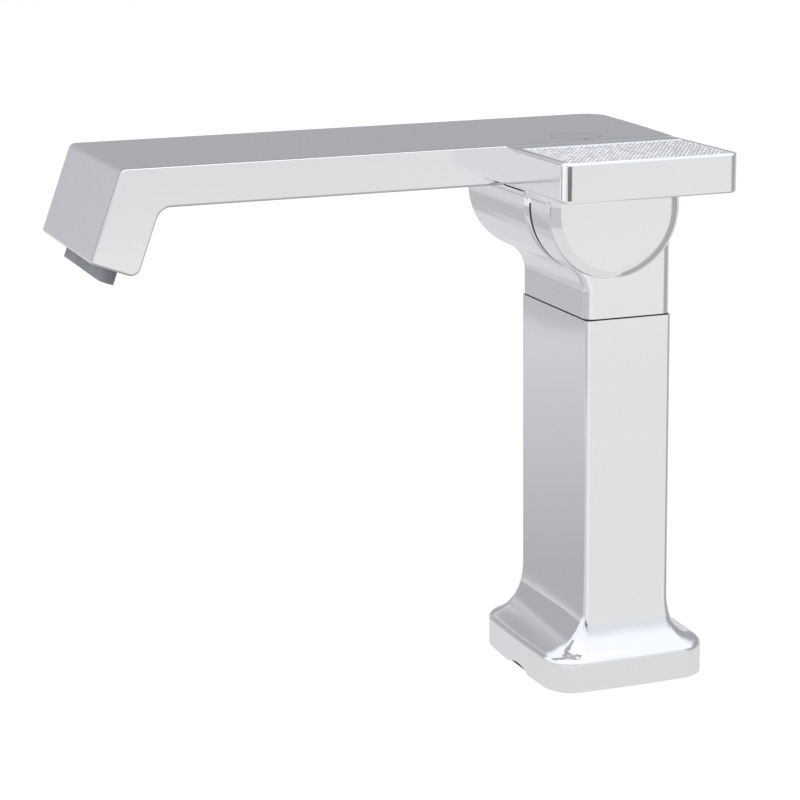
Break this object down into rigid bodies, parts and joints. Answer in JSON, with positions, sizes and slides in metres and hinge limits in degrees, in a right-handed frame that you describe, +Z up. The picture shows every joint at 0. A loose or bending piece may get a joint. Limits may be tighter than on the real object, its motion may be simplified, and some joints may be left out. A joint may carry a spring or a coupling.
{
  "type": "basin mixer tap",
  "caption": "Single-lever basin mixer tap with a rectangular pillar on a flared foot, a flat spout with a slanted slot outlet, and a square side lever.",
  "frame": {"origin": "centre of the foot at its underside, on the deck, under the pillar's own centre line", "axes": "+Z up from the deck, -Y towards the spout's outlet and the user, +X towards the lever"},
  "size_m": [0.1122, 0.1974, 0.1759],
  "materials": {
    "polished_chrome": "polished",
    "satin_chrome": "satin",
    "textured_chrome": "polished, fine pyramid grip",
    "cap_chrome": "polished",
    "grey_plastic": "matt",
    "black_rubber": "matt",
    "stainless": "brushed",
    "white_plastic": "matt",
    "ceramic": "lapped",
    "brass": "turned",
    "nozzle_grey": "satin"
  },
  "bodies": {
    "tap": {"column": "polished_chrome", "head_body": "polished_chrome", "spout_shell": "polished_chrome", "spout_underplate": "satin_chrome", "screw_cap": "cap_chrome", "base_gasket": "black_rubber", "head_seal": "black_rubber", "spout_seal": "black_rubber", "nozzle_gasket": "black_rubber", "port_seals": "black_rubber", "head_lock_screws": "stainless", "inlet_filters": "stainless", "spout_screw": "stainless", "spout_dowels": "stainless", "spout_waterway": "white_plastic", "cartridge_housing": "white_plastic", "cartridge_base": "white_plastic", "glide_ring": "white_plastic", "fixed_disc": "ceramic", "cartridge_nut": "brass", "nozzle_housing": "nozzle_grey", "nozzle_insert": "nozzle_grey"},
    "lever": {"lever": "polished_chrome", "grip_plate": "textured_chrome", "lever_set_screw": "stainless", "set_screw_plug": "grey_plastic", "cartridge_stem": "brass", "moving_disc": "ceramic"}
  },
  "joints": [
    {"name": "lever_turn", "type": "hinge", "parent": "tap", "child": "lever", "pos_m": [0.03, -0.0127, 0.159], "axis": [-1, 0, 0], "range_deg": [0, 25]}
  ]
}
